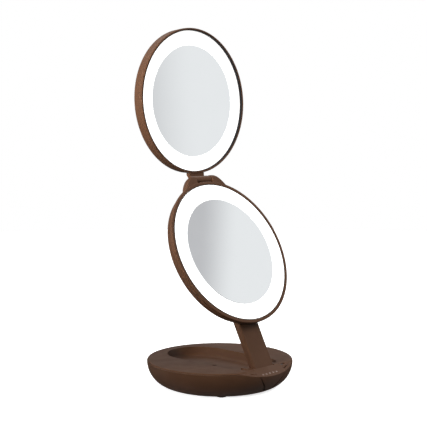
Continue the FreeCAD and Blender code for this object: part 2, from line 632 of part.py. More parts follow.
def make_hub():
    inside = "- lower_thick + head_wall"
    flange = rod("hub_flange", "hub_flange_thick", "0", "- hub_drop", inside)
    shaft = rod("hub_radius", "hub_length", "0", "- hub_drop", inside + " - hub_length")
    bush_back = FRONT_FACE + " - bush_length"
    washer_back = bush_back + " - washer_thick - slack"
    clip_back = washer_back + " - clip_thick - slack - slack"
    groove = ring("hub_radius + overshoot", "hub_radius - groove_depth", clip_back + " - slack",
                  "clip_thick + slack + slack", y="- hub_drop")
    bore = rod("hub_bore", "above", "0", "- hub_drop", "- above")
    piece("hub_spindle", cut(fuse(flange, shaft), groove, bore), "lower")
    bush = ring("bush_radius", "hub_radius + hub_play", bush_back, "bush_length", y="- hub_drop")
    washer = ring("washer_radius", "hub_radius + washer_play", washer_back, "washer_thick", y="- hub_drop")
    clip = ring("clip_radius", "hub_radius - groove_depth + slack", clip_back, "clip_thick", y="- hub_drop")
    piece("hub_bush", bush, "lower")
    piece("hub_washer", washer, "lower")
    piece("hub_clip", clip, "lower")


# Mirror heads -----------------------------------------------------------------------------------

def diagonal(circle):
    """Four places on a circle, halfway between the axes."""
    return [(right + circle, up + circle) for right in ("", "- ") for up in ("", "- ")]


def make_head(side):
    rim = side + "_rim"
    back = side + "_back"
    wall = side + "_side"
    thick = side + "_thick"
    lip = side + "_lip"
    recess = side + "_recess"
    inside = "- %s + head_wall" % thick
    front = "- " + recess
    floor = "%s + %s_lift" % (inside, side)

    points = [("0", "- " + thick), (back + " - back_round", "- " + thick),
              (back, "- %s + back_round" % thick), (rim, "- bezel_depth"),
              (back + " - " + wall, "- bezel_depth"), (back + " - " + wall, inside), ("0", inside)]
    housing = turned(points, {1: "back_round"})
    bosses = [rod("boss_radius", side + "_lift", x, y, inside) for x, y in diagonal("screw_side")]
    holes = [rod("screw_shank", side + "_lift + screw_deep", x, y, inside + " - screw_deep")
             for x, y in diagonal("screw_side")]
    housing = cut(fuse(housing, *bosses), *holes)
    if side == "lower":
        hub_hole = rod("hub_radius", "head_wall + overshoot + overshoot", "0", "- hub_drop",
                       "- lower_thick - overshoot")
        housing = cut(housing, hub_hole)
    piece(side + "_back_housing", housing, side)

    edge = [(lip, "- bezel_depth"), (rim, "- bezel_depth"), (rim, "- edge_round"),
            (rim + " - edge_round", "0"), (lip + " + edge_round", "0"), (lip, "- edge_round")]
    piece(side + "_bezel", turned(edge, {2: "edge_round", 4: "edge_round"}), side)

    glass_back = front + " - glass_thick"
    section = [("0", glass_back), ("glass_radius", glass_back)]
    if side == "lower":
        section += [("glass_radius", front + " - glass_edge"), ("glass_radius - glass_edge", front),
                    ("0", front)]
        glass = turned(section)
    else:
        section += [("glass_radius", front), ("0", front + " - glass_dish")]
        glass = turned(section, {2: "- dish_sphere"})
    piece(side + "_mirror_glass", glass, side)
    piece(side + "_light_ring", ring(lip + " - rim_gap", "ring_inner", front + " - ring_thick",
                                     "ring_thick"), side)

    tray_radius = "%s - %s - tray_gap" % (back, wall)
    plate = rod(tray_radius, "tray_floor", z=floor)
    inner_wall = ring("glass_radius - glass_seat", "glass_radius - glass_seat - tray_wall", floor,
                      span(floor, glass_back))
    outer_wall = ring(tray_radius, tray_radius + " - tray_wall", floor,
                      span(floor, front + " - ring_thick"))
    deep = "tray_floor + overshoot + overshoot"
    under = floor + " - overshoot"
    tray_holes = [rod("screw_shank + tray_hole_play", deep, x, y, under) for x, y in diagonal("screw_side")]
    if side == "lower":
        tray_holes.append(rod("tray_opening", deep, "0", "- hub_drop", under))
    piece(side + "_tray", cut(fuse(plate, inner_wall, outer_wall), *tray_holes), side)

    board_back = floor + " + tray_floor"
    piece(side + "_led_board", ring("board_outer", "board_inner", board_back, "board_thick"), side)
    lamps = []
    for step in range(int(number("led_count"))):
        lamp = bind(part("Part::Box"), Length="led_width", Width="led_length", Height="led_height")
        at(lamp, "- led_width / 2", "led_circle - led_length / 2", board_back + " + board_thick")
        turned_lamp = part("Part::Compound")
        turned_lamp.Links = [lamp]
        turned_lamp.Placement.Rotation = Rotation(Vector(0, 0, 1), 360.0 * step / number("led_count"))
        lamps.append(turned_lamp)
    group(side + "_leds", lamps, side)

    screws = []
    for x, y in diagonal("screw_side"):
        head = rod("screw_head", "screw_head_thick", x, y, board_back)
        shank = rod("screw_shank", "tray_floor + %s_lift + screw_deep" % side, x, y,
                    inside + " - screw_deep")
        screws.append(fuse(head, shank))
    group(side + "_screws", screws, side)


def grown_housing(side):
    """The outside of a head's rim, grown by the seam that other pieces keep from it."""
    rim = side + "_rim + rim_gap"
    back = side + "_back + rim_gap"
    thick = side + "_thick"
    low = "- %s - rim_reach" % thick
    points = [("0", low), (back, low), (back, "- %s + back_round" % thick), (rim, "- bezel_depth"),
              (rim, "rim_reach"), ("0", "rim_reach")]
    return turned(points)


def make_top_hinge():
    """Two ears on the lower head hold the pin of a knuckle that is fixed to the upper head."""
    tip = "axis_above + ear_radius"
    near = "- axis_behind + ear_radius"
    far = "- axis_behind - ear_radius"
    face = [("- bracket_low_half", "bracket_low"), ("bracket_low_half", "bracket_low"),
            ("bracket_half", tip), ("- bracket_half", tip)]
    slab = padded("XY_Plane", face, "bracket_slab", {1: "bracket_curve", 3: "bracket_curve"},
                  start="- bracket_back")
    section = [("notch_low", far), ("axis_above", far), (tip, "- axis_behind"), ("axis_above", near),
               ("notch_low", near)]
    bar = padded("YZ_Plane", section, "beyond + beyond", {1: "ear_radius", 2: "ear_radius"}, middle=True)
    notch = box("- notch_half", "notch_low", "- above / 2", "notch_half + notch_half", "above", "above")
    hole = pin_along_x("hinge_pin", "hinge_pin_half", "axis_above", "- axis_behind")
    piece("hinge_ears", cut(common(slab, bar), grown_housing("lower"), notch, hole), "lower")
    group("hinge_pin", [pin_along_x("hinge_pin", "hinge_pin_half", "axis_above", "- axis_behind")], "lower")
    washers = []
    for start in ("barrel_half + hinge_washer_gap", "- notch_half + hinge_washer_gap"):
        disc = pin_along_x("hinge_washer_radius",
                           "notch_half - barrel_half - hinge_washer_gap - hinge_washer_gap",
                           "axis_above", "- axis_behind", start)
        bore = pin_along_x("hinge_pin", "notch_half + overshoot", "axis_above", "- axis_behind")
        washers.append(cut(disc, bore))
    group("hinge_washers", washers, "lower")

    axis_z = "axis_behind + closed_gap"
    inner = "- axis_above + barrel_radius"
    outer = "- axis_above - barrel_radius"
    root = "- neck_root"
    side = [(outer, axis_z), (outer, "neck_heel"), ("- upper_rim - neck_seat", root),
            ("- upper_rim + neck_reach", root), ("- upper_rim + neck_reach", "- closed_gap"),
            (inner, "- closed_gap"), (inner, axis_z)]
    neck = padded("YZ_Plane", side, "neck_half + neck_half", middle=True)
    barrel = pin_along_x("barrel_radius", "barrel_half", "- axis_above", axis_z)
    hole = pin_along_x("hinge_pin + pin_play", "barrel_half + overshoot", "- axis_above", axis_z)
    knuckle = cut(fuse(cut(neck, grown_housing("upper")), barrel), hole)
    piece("upper_knuckle", knuckle, "upper")


make_base_shell()
make_base_deck()
make_front_cap()
make_cap_mark()
make_foot_hinge()
make_battery_parts()
make_base_fittings()
make_driver_and_switch()
make_arm()
make_hub()
make_head("lower")
make_head("upper")
make_top_hinge()
doc.recompute()

for thing in doc.Objects:
    if "Invalid" in thing.State or "Error" in thing.State:
        raise RuntimeError("%s (%s) failed: %s" % (thing.Name, thing.Label, thing.State))
for thing in PIECES:
    if thing.Shape.isNull() or not thing.Shape.isValid() or not thing.Shape.Solids:
        raise RuntimeError("%s has no valid solid" % thing.Label)

os.makedirs("parts", exist_ok=True)
for thing in PIECES:
    thing.Shape.exportStep("parts/%s.step" % thing.Label)
    print("%-20s %2d solid(s) %9.1f mm3" % (thing.Label, len(thing.Shape.Solids), thing.Shape.Volume))
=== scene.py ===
import math

import bmesh
import bpy
from mathutils import Matrix, Vector


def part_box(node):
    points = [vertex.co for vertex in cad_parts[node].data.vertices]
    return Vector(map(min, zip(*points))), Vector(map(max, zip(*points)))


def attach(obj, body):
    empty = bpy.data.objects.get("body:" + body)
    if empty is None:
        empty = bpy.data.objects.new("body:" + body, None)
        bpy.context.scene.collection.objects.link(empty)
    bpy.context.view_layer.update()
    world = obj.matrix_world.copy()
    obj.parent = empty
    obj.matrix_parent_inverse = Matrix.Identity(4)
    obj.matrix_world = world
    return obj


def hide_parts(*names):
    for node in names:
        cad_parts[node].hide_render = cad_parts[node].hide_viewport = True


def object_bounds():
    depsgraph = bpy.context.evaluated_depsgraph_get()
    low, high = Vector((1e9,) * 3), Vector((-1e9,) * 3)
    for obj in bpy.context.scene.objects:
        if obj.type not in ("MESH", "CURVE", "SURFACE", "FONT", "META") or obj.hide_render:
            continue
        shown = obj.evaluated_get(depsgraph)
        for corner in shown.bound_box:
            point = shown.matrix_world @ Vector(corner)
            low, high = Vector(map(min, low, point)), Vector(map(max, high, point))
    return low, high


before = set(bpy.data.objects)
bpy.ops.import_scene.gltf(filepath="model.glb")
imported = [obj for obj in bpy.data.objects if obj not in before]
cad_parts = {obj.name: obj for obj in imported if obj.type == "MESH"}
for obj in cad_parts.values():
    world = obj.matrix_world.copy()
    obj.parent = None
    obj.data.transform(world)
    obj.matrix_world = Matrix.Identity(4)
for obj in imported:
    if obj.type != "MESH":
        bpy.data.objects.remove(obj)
cad_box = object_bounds()

# The mirror is shown as on a maker's product sheet: seen with a long lens from about a metre away, from
# its left front and a hand's breadth above its middle. Sizes are in metres; MM is one millimetre.
MM = 0.001
lens_to_aim = 0.95
aim_off_middle = Vector((-3.6, 3.8, -5.1)) * MM
lens = bpy.data.cameras.new("long_lens")
lens.sensor_width = 36
lens.lens = 94.27
camera = bpy.data.objects.new("camera", lens)
bearing, dip = math.radians(46.45), math.radians(5.108)
sight = Vector((math.sin(bearing) * math.cos(dip), math.cos(bearing) * math.cos(dip), -math.sin(dip)))
middle = (cad_box[0] + cad_box[1]) / 2
aim = middle + aim_off_middle
camera.location = aim - sight * lens_to_aim
camera.rotation_mode = "QUATERNION"
camera.rotation_quaternion = sight.to_track_quat("-Z", "Y")
bpy.context.scene.collection.objects.link(camera)
bpy.context.scene.camera = camera
bpy.context.scene.view_settings.view_transform = "Standard"


# The table: a sheet of matt white paper over a dim light box, so that it stays white to its far edge, with
# the faint mottle that paper has.
def new_material(name, **shader_values):
    """An empty Principled material: its node tree and its shader, with the constants set on the shader."""
    made = bpy.data.materials.new(name)
    made.use_nodes = True
    shader = made.node_tree.nodes["Principled BSDF"]
    for socket, value in shader_values.items():
        shader.inputs[socket.replace("_", " ")].default_value = value
    return made, made.node_tree, shader


def node(tree, kind, feeds=(), **settings):
    """One node with its settings; feeds pairs each of its sockets with a number, a colour or an output."""
    made = tree.nodes.new("ShaderNode" + kind)
    for name, value in settings.items():
        setattr(made, name, value)
    for socket, source in dict(feeds).items():
        if isinstance(source, bpy.types.NodeSocket):
            tree.links.new(source, made.inputs[socket])
        else:
            made.inputs[socket].default_value = source
    return made


def mixed(tree, share, first, second):
    """The colour between first and second by that share."""
    made = node(tree, "Mix", {0: share, 6: first, 7: second}, data_type="RGBA")
    return made.outputs[2]


def eased(tree, value, low, high, start, end):
    """The value run smoothly from low..high to start..end, and held outside it."""
    feeds = {"Value": value, "From Min": low, "From Max": high, "To Min": start, "To Max": end}
    return node(tree, "MapRange", feeds, interpolation_type="SMOOTHSTEP").outputs["Result"]


def made_object(name, mesh, *materials):
    """A new object at the origin with that mesh and those materials."""
    made = bpy.data.objects.new(name, mesh)
    for material in materials:
        mesh.materials.append(material)
    bpy.context.scene.collection.objects.link(made)
    return made


def meshed(name, work):
    """A finished mesh from a bmesh, with smooth faces and sharp edges above 35 degrees."""
    mesh = bpy.data.meshes.new(name)
    work.to_mesh(mesh)
    work.free()
    mesh.shade_smooth()
    mesh.set_sharp_from_angle(angle=math.radians(35))
    return mesh


def spot_on(tree):
    """The place on the piece, in the piece's own metres, which is where every pattern is drawn."""
    return node(tree, "TexCoord").outputs["Object"]


table_reach = 1.3
table_drop = 0.02 * MM
paper, tree, shader = new_material("white_paper", Roughness=0.9, Emission_Strength=0.85)
spot = spot_on(tree)
mottle = node(tree, "TexNoise", {"Vector": spot, "Scale": 40, "Detail": 4}).outputs["Fac"]
sheet = mixed(tree, mottle, (0.90, 0.90, 0.90, 1), (0.92, 0.92, 0.92, 1))
tree.links.new(sheet, shader.inputs["Base Color"])
tree.links.new(sheet, shader.inputs["Emission Color"])
work = bmesh.new()
bmesh.ops.create_circle(work, cap_ends=True, segments=96, radius=table_reach,
                        matrix=Matrix.Translation((0, 0, -table_drop)))
table = made_object("table", meshed("table", work), paper)
table.visible_diffuse = False
table.visible_glossy = False


# The light: a white tent with a dark cloth behind the mirror, which keeps the deck's shallow reflection
# brown, and a grey panel ahead of it that leans back at its top, which shades the mirrors softly. Three
# lamps add the light from the left, the right and above.
def share_of(tree, value, low, high):
    """How far the value is from low to high, eased at both ends."""
    return eased(tree, value, low, high, 0.0, 1.0)


def worked_out(tree, kind, first, second):
    """One Math node of that kind on two values."""
    return node(tree, "Math", {0: first, 1: second}, operation=kind).outputs[0]


tent = bpy.data.worlds.new("white_tent")
tent.use_nodes = True
bpy.context.scene.world = tent
tree = tent.node_tree
backdrop = tree.nodes["Background"]
way = node(tree, "SeparateXYZ", {0: node(tree, "TexCoord").outputs["Generated"]})
across = worked_out(tree, "ARCTAN2", way.outputs["Y"], way.outputs["X"])
rise = worked_out(tree, "ARCSINE", way.outputs["Z"], 0.0)
leaning = worked_out(tree, "SUBTRACT", across, worked_out(tree, "MULTIPLY", rise, 1.184))


def side_of(value, start, end):
    """How clear the tent is between two bearings in degrees, from 0 at the first to 1 at the second."""
    return share_of(tree, value, math.radians(start), math.radians(end))


near_side = eased(tree, across, math.radians(-45.0), math.radians(-37.8), 1.0, 0.0)
low_clear = worked_out(tree, "MAXIMUM", near_side, side_of(across, -36.0, -31.0))
high_clear = worked_out(tree, "MAXIMUM", near_side, side_of(leaning, -70.4, -67.0))
clear = mixed(tree, side_of(rise, 10.0, 20.0), low_clear, high_clear)
cloth = mixed(tree, clear, (0.53, 0.535, 0.55, 1), (0.83, 0.85, 0.86, 1))
height = share_of(tree, way.outputs["Z"], -0.45, 0.02)
ahead = mixed(tree, height, (0.31, 0.32, 0.33, 1), cloth)
away_x = worked_out(tree, "MULTIPLY", way.outputs["X"], math.sin(bearing))
away_y = worked_out(tree, "MULTIPLY", way.outputs["Y"], math.cos(bearing))
away = share_of(tree, worked_out(tree, "ADD", away_x, away_y), 0.3, 0.7)
under_the_hem = eased(tree, way.outputs["Z"], 0.27, 0.52, 1.0, 0.0)
behind = worked_out(tree, "MULTIPLY", away, under_the_hem)
mirrored = mixed(tree, behind, ahead, (0.10, 0.085, 0.075, 1))
upwards = share_of(tree, way.outputs["Z"], -0.05, 0.6)
fill = mixed(tree, upwards, (0.04, 0.04, 0.04, 1), (0.52, 0.52, 0.52, 1))
path = node(tree, "LightPath")
unseen = mixed(tree, path.outputs["Is Glossy Ray"], fill, mirrored)
seen = mixed(tree, path.outputs["Is Camera Ray"], unseen, (1.0, 1.0, 1.0, 1))
tree.links.new(seen, backdrop.inputs["Color"])

for name, place, target, size, power, spread in (
    ("left_lamp", (-0.80, -0.05, 0.36), Vector((0, 0.02, 0.24)), 0.35, 1.05, 36),
    ("right_lamp", (0.40, -0.85, 0.95), aim, 0.6, 10.0, 180),
    ("top_lamp", (-0.1, 0.3, 1.4), aim, 1.2, 7.8, 180),
):
    lamp = bpy.data.lights.new(name, "AREA")
    lamp.shape = "DISK"
    lamp.size = size
    lamp.energy = power
    lamp.spread = math.radians(spread)
    holder = bpy.data.objects.new(name, lamp)
    holder.location = place
    holder.rotation_mode = "QUATERNION"
    holder.rotation_quaternion = (target - Vector(place)).to_track_quat("-Z", "Y")
    holder.visible_glossy = False
    bpy.context.scene.collection.objects.link(holder)


# The housings: every brown case, cap, ear and arm is injection-moulded ABS in a cocoa colour, with a fine
# spark-eroded grain, edges that handling has polished a little, and slightly uneven gloss.
def new_group(name, inputs, outputs):
    """An empty node group: its tree, its inputs' node and its outputs' node."""
    made = bpy.data.node_groups.new(name, "ShaderNodeTree")
    for socket, start in inputs.items():
        kind = "NodeSocketVector" if start is None else "NodeSocketFloat"
        fresh = made.interface.new_socket(name=socket, in_out="INPUT", socket_type=kind)
        if start is not None:
            fresh.default_value = start
    for socket in outputs:
        made.interface.new_socket(name=socket, in_out="OUTPUT", socket_type="NodeSocketFloat")
    return made, made.nodes.new("NodeGroupInput"), made.nodes.new("NodeGroupOutput")


def placed(tree, group, **values):
    """A node group placed in a material with its own values."""
    made = node(tree, "Group", {}, node_tree=group)
    for socket, value in values.items():
        if isinstance(value, bpy.types.NodeSocket):
            tree.links.new(value, made.inputs[socket])
        else:
            made.inputs[socket].default_value = value
    return made


moulded_grain, given, result = new_group("moulded_grain", {"Place": None, "Fineness": 3000.0},
                                         ("Height", "Cloud"))
place, fineness = given.outputs["Place"], given.outputs["Fineness"]
fine = node(moulded_grain, "TexNoise", {"Vector": place, "Scale": fineness, "Detail": 3.0, "Roughness": 0.6})
broad = node(moulded_grain, "TexNoise", {"Vector": place, "Scale": 55.0, "Detail": 3.0})
moulded_grain.links.new(fine.outputs["Fac"], result.inputs["Height"])
moulded_grain.links.new(broad.outputs["Fac"], result.inputs["Cloud"])

rubbed_edge, given, result = new_group("rubbed_edge", {"Place": None, "Reach": 0.0005}, ("Rubbed",))
rounded = node(rubbed_edge, "Bevel", {"Radius": given.outputs["Reach"]}, samples=6)
unrounded = node(rubbed_edge, "NewGeometry").outputs["Normal"]
square = node(rubbed_edge, "VectorMath", {0: rounded.outputs[0], 1: unrounded}, operation="DOT_PRODUCT")
patches = node(rubbed_edge, "TexNoise", {"Vector": given.outputs["Place"], "Scale": 130.0, "Detail": 5.0})
near_edge = eased(rubbed_edge, square.outputs["Value"], 0.997, 0.93, 0.0, 1.0)
worn = eased(rubbed_edge, patches.outputs["Fac"], 0.35, 0.62, 0.25, 1.0)
rubbed_edge.links.new(worked_out(rubbed_edge, "MULTIPLY", near_edge, worn), result.inputs["Rubbed"])


def moulded(name, dark, light, rubbed, gloss, fineness=3000.0, depth=0.012, rub=0.5, **shader_values):
    """A moulded plastic: clouded between two shades, lighter and smoother where its edges are rubbed."""
    plastic, tree, shader = new_material(name, **shader_values)
    spot = spot_on(tree)
    grain = placed(tree, moulded_grain, Place=spot, Fineness=fineness)
    edge = placed(tree, rubbed_edge, Place=spot, Reach=rub * MM)
    clouded = mixed(tree, eased(tree, grain.outputs["Cloud"], 0.3, 0.7, 0.0, 1.0), dark, light)
    tree.links.new(mixed(tree, edge.outputs["Rubbed"], clouded, rubbed), shader.inputs["Base Color"])
    sheen = eased(tree, grain.outputs["Cloud"], 0.25, 0.75, gloss + 0.05, gloss - 0.05)
    polish = node(tree, "Math", {0: edge.outputs["Rubbed"], 1: -0.12, 2: sheen}, operation="MULTIPLY_ADD")
    tree.links.new(polish.outputs[0], shader.inputs["Roughness"])
    bump = node(tree, "Bump", {"Height": grain.outputs["Height"], "Distance": depth * MM, "Strength": 1.0})
    tree.links.new(bump.outputs["Normal"], shader.inputs["Normal"])
    return plastic


def dress(material, *names):
    """The named CAD nodes take the material in place of the one they came with."""
    for name in names:
        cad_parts[name].data.materials[0] = material


cocoa = moulded("cocoa_abs", (0.060, 0.0268, 0.0134, 1), (0.067, 0.0300, 0.0152, 1),
                (0.105, 0.054, 0.034, 1), 0.50, Specular_IOR_Level=0.30, Specular_Tint=(0.9, 0.76, 0.66, 1))
dress(cocoa, "base_shell", "base_deck", "front_cap", "arm_front_shell", "arm_back_cover",
      "lower_back_housing", "lower_bezel", "hinge_ears", "upper_back_housing", "upper_bezel",
      "upper_knuckle", "battery_door")


# The light rings: flat opal acrylic over a ring of lamps, which spreads their light evenly, with its edges
# broken. Round each ring, a thin near-black band lines the lip of its head. This band is painted shade: it
# stands for the shadowed gap between ring and lip and for the lip's shaded inner wall.
def measured(name, facing):
    """A CAD node that is round about an axis: its place, its radii and its ends along the axis."""
    low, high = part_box(name)
    centre = (low + high) / 2
    outs, alongs = [], []
    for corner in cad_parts[name].data.vertices:
        along = (corner.co - centre).dot(facing)
        outs.append((corner.co - centre - facing * along).length)
        alongs.append(along)
    turn = facing.to_track_quat("Z", "Y").to_matrix().to_4x4()
    return Matrix.Translation(centre) @ turn, min(outs), max(outs), min(alongs), max(alongs)


def broad_face(name):
    """The way that a flat CAD node's largest face looks, taken towards the front."""
    widest = max(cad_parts[name].data.polygons, key=lambda face: face.area)
    return -widest.normal if widest.normal.y > 0 else widest.normal.copy()


weld_gap = 0.001 * MM


def turned(profile, steps, closed=False, broken=0.0):
    """A round piece spun from half of its section, given as radius and height. Its edges may be broken."""
    work = bmesh.new()
    corners = [work.verts.new((radius, 0, height)) for radius, height in profile]
    sides = [work.edges.new(pair) for pair in zip(corners, corners[1:])]
    if closed:
        sides.append(work.edges.new((corners[-1], corners[0])))
    bmesh.ops.spin(work, geom=corners + sides, axis=(0, 0, 1), cent=(0, 0, 0), angle=math.tau, steps=steps,
                   use_merge=True)
    bmesh.ops.remove_doubles(work, verts=work.verts, dist=weld_gap)
    bmesh.ops.recalc_face_normals(work, faces=work.faces)
    if broken:
        sharp = [edge for edge in work.edges if edge.calc_face_angle(0.0) > math.radians(50)]
        bmesh.ops.bevel(work, geom=sharp, offset=broken, segments=3, affect="EDGES", profile=0.5,
                        material=-1)
    return work


def fitted(name, work, place, body, slot, material, *nodes):
    """The finished piece: put in its place, riding on its body, in place of its CAD nodes if it has any."""
    work.transform(place)
    piece = made_object(name, meshed(name, work), material)
    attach(piece, body)
    if nodes:
        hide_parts(*nodes)
    return piece


opal, tree, shader = new_material("opal_acrylic", Roughness=0.35, Emission_Strength=1.0)
spot = spot_on(tree)
soft = node(tree, "TexNoise", {"Vector": spot, "Scale": 60.0, "Detail": 2.0}).outputs["Fac"]
tree.links.new(mixed(tree, soft, (0.86, 0.86, 0.85, 1), (0.90, 0.90, 0.89, 1)), shader.inputs["Base Color"])
glow = mixed(tree, soft, (1.0, 0.985, 0.965, 1), (1.0, 0.995, 0.985, 1))
tree.links.new(glow, shader.inputs["Emission Color"])
# A near-black lining material, which is painted shade for the gap round each ring and for the shaded inner
# wall of its lip.
shade_lining = moulded("painted_shade_lining", (0.004, 0.003, 0.003, 1), (0.007, 0.006, 0.006, 1),
                 (0.012, 0.010, 0.010, 1), 0.7, Specular_IOR_Level=0.2)

ring_steps = 160
ring_edge = 0.25 * MM
shade_lining_wide = 0.35 * MM
for head, lip in (("lower", 0.45 * MM), ("upper", 2.6 * MM)):
    node_name = head + "_light_ring"
    facing = broad_face(node_name)
    place, inner, outer, back, front = measured(node_name, facing)
    section = [(inner, back), (outer, back), (outer, front), (inner, front)]
    ring = turned(section, ring_steps, closed=True, broken=ring_edge)
    fitted(head + "_opal_ring", ring, place, head + "_head", "diffuser_acrylic", opal, node_name)
    # The painted-shade lining is a thin band round the ring's outer edge, running up the lip's inner wall.
    seam = outer - shade_lining_wide
    foot = front - shade_lining_wide
    section = [(seam, foot), (outer, foot), (outer, front + lip), (seam, front + lip)]
    bead = turned(section, ring_steps, closed=True, broken=shade_lining_wide / 3)
    fitted(head + "_ring_painted_shade", bead, place, head + "_head", "foot_rubber", shade_lining)


# The mirrors: float glass silvered on the back and set flush with its light ring, the upper one dished so
# that it magnifies. Nearly perfect, with only the faint haze that cleaning leaves.
silver, tree, shader = new_material("silvered_glass", Metallic=1.0, Coat_Weight=0.3, Coat_Roughness=0.03)
spot = spot_on(tree)
haze = node(tree, "TexNoise", {"Vector": spot, "Scale": 45.0, "Detail": 5.0}).outputs["Fac"]
shine = mixed(tree, haze, (0.93, 0.94, 0.945, 1), (0.955, 0.96, 0.965, 1))
tree.links.new(shine, shader.inputs["Base Color"])
tree.links.new(eased(tree, haze, 0.35, 0.75, 0.012, 0.05), shader.inputs["Roughness"])
dress(silver, "lower_mirror_glass", "upper_mirror_glass")


# Inside the heads: a white tray that throws the lamps' light forwards, with a white ring-shaped board of
# lamps under the opal ring, each lamp a drop of yellow resin.
tray = moulded("white_tray", (0.74, 0.74, 0.72, 1), (0.80, 0.80, 0.79, 1), (0.86, 0.86, 0.85, 1), 0.45)
dress(tray, "lower_tray", "upper_tray")
mask_white = moulded("white_solder_mask", (0.70, 0.71, 0.70, 1), (0.78, 0.78, 0.77, 1),
                     (0.60, 0.50, 0.30, 1), 0.35, fineness=900.0, depth=0.004, rub=0.2)
dress(mask_white, "lower_led_board", "upper_led_board")
resin, tree, shader = new_material("lamp_resin", Roughness=0.25, Emission_Strength=4.0)
spot = spot_on(tree)
grit = node(tree, "TexNoise", {"Vector": spot, "Scale": 2500.0, "Detail": 2.0}).outputs["Fac"]
phosphor = mixed(tree, grit, (0.85, 0.62, 0.16, 1), (0.95, 0.76, 0.28, 1))
tree.links.new(phosphor, shader.inputs["Base Color"])
glow = mixed(tree, grit, (1.0, 0.90, 0.72, 1), (1.0, 0.96, 0.86, 1))
tree.links.new(glow, shader.inputs["Emission Color"])
dress(resin, "lower_leds", "upper_leds")


# The pins: ground steel rod, with the fine lines that grinding leaves round it. The hub's spindle, washer
# and clip are of the same steel.
def steel(name, dull, bright, low_gloss, high_gloss, lines=(1.0, 30.0, 30.0)):
    """Bare metal with fine tool lines, which are drawn out along the axis that has the small scale."""
    metal, tree, shader = new_material(name, Metallic=1.0)
    spot = spot_on(tree)
    drawn = node(tree, "Mapping", {"Vector": spot, "Scale": lines}).outputs[0]
    scratch = node(tree, "TexNoise", {"Vector": drawn, "Scale": 400.0, "Detail": 4.0}).outputs["Fac"]
    tree.links.new(mixed(tree, scratch, dull, bright), shader.inputs["Base Color"])
    tree.links.new(eased(tree, scratch, 0.3, 0.7, low_gloss, high_gloss), shader.inputs["Roughness"])
    bump = node(tree, "Bump", {"Height": scratch, "Distance": 0.004 * MM, "Strength": 1.0})
    tree.links.new(bump.outputs["Normal"], shader.inputs["Normal"])
    return metal


ground = steel("ground_steel", (0.46, 0.46, 0.47, 1), (0.60, 0.60, 0.61, 1), 0.24, 0.38,
               lines=(30.0, 1.0, 1.0))
dress(ground, "foot_pin", "hinge_pin", "hub_spindle", "hub_clip", "hub_washer")


# The friction washers and the hub's bush: turned from natural nylon, which is slightly yellow, and set
# between the pieces that move on each other. It is polished where it rubs.
nylon = moulded("natural_nylon", (0.62, 0.59, 0.50, 1), (0.70, 0.67, 0.58, 1), (0.76, 0.74, 0.66, 1), 0.42,
                fineness=1800.0, depth=0.006, rub=0.3)
dress(nylon, "foot_washers", "hinge_washers", "hub_bush")


# The screws: steel, blackened, with pan heads and a cross recess, each driven into its own boss. The two
# heads' own screws lie sealed inside them and keep their plain shape.
def solids_of(name):
    """The corners of each separate solid of a CAD node, in the mesh's order."""
    welded = bmesh.new()
    welded.from_mesh(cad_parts[name].data)
    bmesh.ops.remove_doubles(welded, verts=welded.verts, dist=weld_gap)
    found = []
    for first in welded.verts:
        if first.tag:
            continue
        first.tag = True
        solid, waiting = [], [first]
        while waiting:
            corner = waiting.pop()
            solid.append(corner.co.copy())
            for edge in corner.link_edges:
                other = edge.other_vert(corner)
                if not other.tag:
                    other.tag = True
                    waiting.append(other)
        found.append(solid)
    welded.free()
    return found


def joined(whole, part):
    """One finished bmesh added to another."""
    carrier = bpy.data.meshes.new("carrier")
    part.to_mesh(carrier)
    part.free()
    whole.from_mesh(carrier)
    bpy.data.meshes.remove(carrier)


screw_steps = 24


def cross_screw(head_radius, head_high, shank_radius, shank_long):
    """A pan-head screw that points down, with the underside of its head at the origin."""
    section = [(0, -shank_long), (shank_radius * 0.55, -shank_long), (shank_radius, -shank_long * 0.93),
               (shank_radius, 0), (head_radius, 0), (head_radius, head_high * 0.5),
               (head_radius * 0.93, head_high * 0.8), (head_radius * 0.8, head_high)]
    work = turned(section, screw_steps)
    rim = [edge for edge in work.edges if edge.is_boundary]
    reach, half = head_radius * 0.58, head_radius * 0.15
    recess_deep, recess_draft = head_high * 0.7, 0.6
    corners = []
    for quarter in range(4):
        turn = Matrix.Rotation(quarter * math.pi / 2, 3, "Z")
        for across, aside in ((reach, -half), (reach, half), (half, half)):
            corners.append(work.verts.new(turn @ Vector((across, aside, head_high))))
    mouth = [work.edges.new(pair) for pair in zip(corners, corners[1:] + corners[:1])]
    bmesh.ops.triangle_fill(work, use_beauty=True, edges=rim + mouth, normal=(0, 0, 1))
    walls = bmesh.ops.extrude_edge_only(work, edges=mouth)["geom"]
    bottom = [part for part in walls if isinstance(part, bmesh.types.BMVert)]
    bmesh.ops.scale(work, vec=(recess_draft, recess_draft, 1.0), verts=bottom)
    bmesh.ops.translate(work, vec=(0, 0, -recess_deep), verts=bottom)
    floor = [part for part in walls if isinstance(part, bmesh.types.BMEdge)]
    bmesh.ops.triangle_fill(work, use_beauty=True, edges=floor, normal=(0, 0, 1))
    bmesh.ops.recalc_face_normals(work, faces=work.faces)
    return work


def set_of_screws(name, node_name, body, facing, head_high, shank_radius, finish):
    """One cross-headed screw for each solid of the CAD node, its head towards facing."""
    everything = bmesh.new()
    turn = facing.to_track_quat("Z", "Y").to_matrix().to_4x4()
    for solid in solids_of(node_name):
        alongs = [corner.dot(facing) for corner in solid]
        low, high = min(alongs), max(alongs)
        flat = [corner - facing * corner.dot(facing) for corner in solid]
        centre = sum(flat, Vector()) / len(flat)
        radius = max((corner - centre).length for corner in flat)
        one = cross_screw(radius, head_high, shank_radius, high - low - head_high)
        one.transform(Matrix.Translation(centre + facing * (high - head_high)) @ turn)
        joined(everything, one)
    return fitted(name, everything, Matrix(), body, "screw_steel", finish, node_name)


